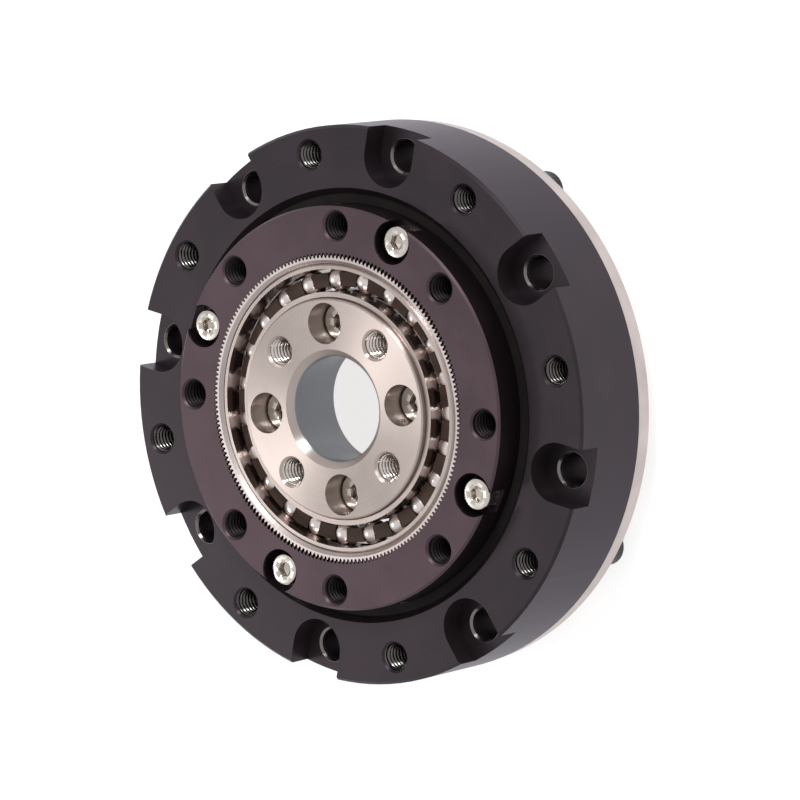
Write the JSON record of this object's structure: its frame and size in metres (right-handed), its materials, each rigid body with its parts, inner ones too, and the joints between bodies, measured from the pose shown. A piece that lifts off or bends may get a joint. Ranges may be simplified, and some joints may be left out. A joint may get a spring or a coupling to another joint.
{
  "type": "strain wave gear",
  "caption": "Short hollow strain wave gear unit: an elliptical wave generator flexes a toothed cup inside a ring spline, whose flange turns slowly in a crossed roller bearing.",
  "frame": {"origin": "on the gear axis, in the rear face of the flexspline's brim, which seats against the machine", "axes": "+Z along the gear axis, out of the output side; +X along the major axis of the wave at rest, through a tapped hole of the housing; right-handed"},
  "size_m": [0.08, 0.08, 0.0246],
  "materials": {
    "black_oxide_steel": "turned and black-oxidised, slightly glossy",
    "black_oxide_iron": "ground face, black-oxidised",
    "bare_steel": "fine turned, bare",
    "plug_steel": "satin, bare",
    "bearing_steel": "ground and polished",
    "cage_plastic": "moulded, dark olive brown",
    "spacer_plastic": "moulded, cream",
    "seal_rubber": "matt",
    "black_screw_steel": "black-oxidised",
    "bright_screw_steel": "nickel plated"
  },
  "bodies": {
    "housing": {"outer_ring": "black_oxide_steel", "filling_plug": "bare_steel", "filling_pin": "bearing_steel", "front_seal": "seal_rubber", "flexspline": "bare_steel", "wave_bearing_outer_ring": "bearing_steel", "brim_screw_1": "black_screw_steel", "brim_screw_2": "black_screw_steel", "brim_screw_3": "black_screw_steel", "brim_screw_4": "black_screw_steel"},
    "output": {"circular_spline": "black_oxide_iron", "inner_ring": "bare_steel", "spline_screw_1": "bright_screw_steel", "spline_screw_2": "bright_screw_steel", "spline_screw_3": "bright_screw_steel", "spline_screw_4": "bright_screw_steel"},
    "wave_generator": {"wave_plug": "plug_steel", "wave_retainer": "plug_steel", "wave_bearing_inner_ring": "bearing_steel", "plug_screw_1": "bright_screw_steel", "plug_screw_2": "bright_screw_steel", "plug_screw_3": "bright_screw_steel", "plug_screw_4": "bright_screw_steel"},
    "ball_train": {"wave_bearing_balls": "bearing_steel", "ball_cage": "cage_plastic"},
    "roller_train": {"crossed_rollers": "bearing_steel", "roller_spacers": "spacer_plastic"}
  },
  "joints": [
    {"name": "wave_generator_spin", "type": "hinge", "parent": "housing", "child": "wave_generator", "pos_m": [0, 0, 0.0173], "axis": [0, 0, 1], "continuous": true, "deforming": ["flexspline"]},
    {"name": "output_spin", "type": "hinge", "parent": "housing", "child": "output", "pos_m": [0, 0, 0.0173], "axis": [0, 0, 1], "continuous": true},
    {"name": "ball_train_spin", "type": "hinge", "parent": "housing", "child": "ball_train", "pos_m": [0, 0, 0.0173], "axis": [0, 0, 1], "continuous": true},
    {"name": "roller_train_spin", "type": "hinge", "parent": "housing", "child": "roller_train", "pos_m": [0, 0, 0.0173], "axis": [0, 0, 1], "continuous": true}
  ],
  "couplings": [
    {"joint": "output_spin", "follows": "wave_generator_spin", "ratio": 0.009901},
    {"joint": "ball_train_spin", "follows": "wave_generator_spin", "ratio": 0.44805},
    {"joint": "roller_train_spin", "follows": "wave_generator_spin", "ratio": 0.0048046}
  ]
}
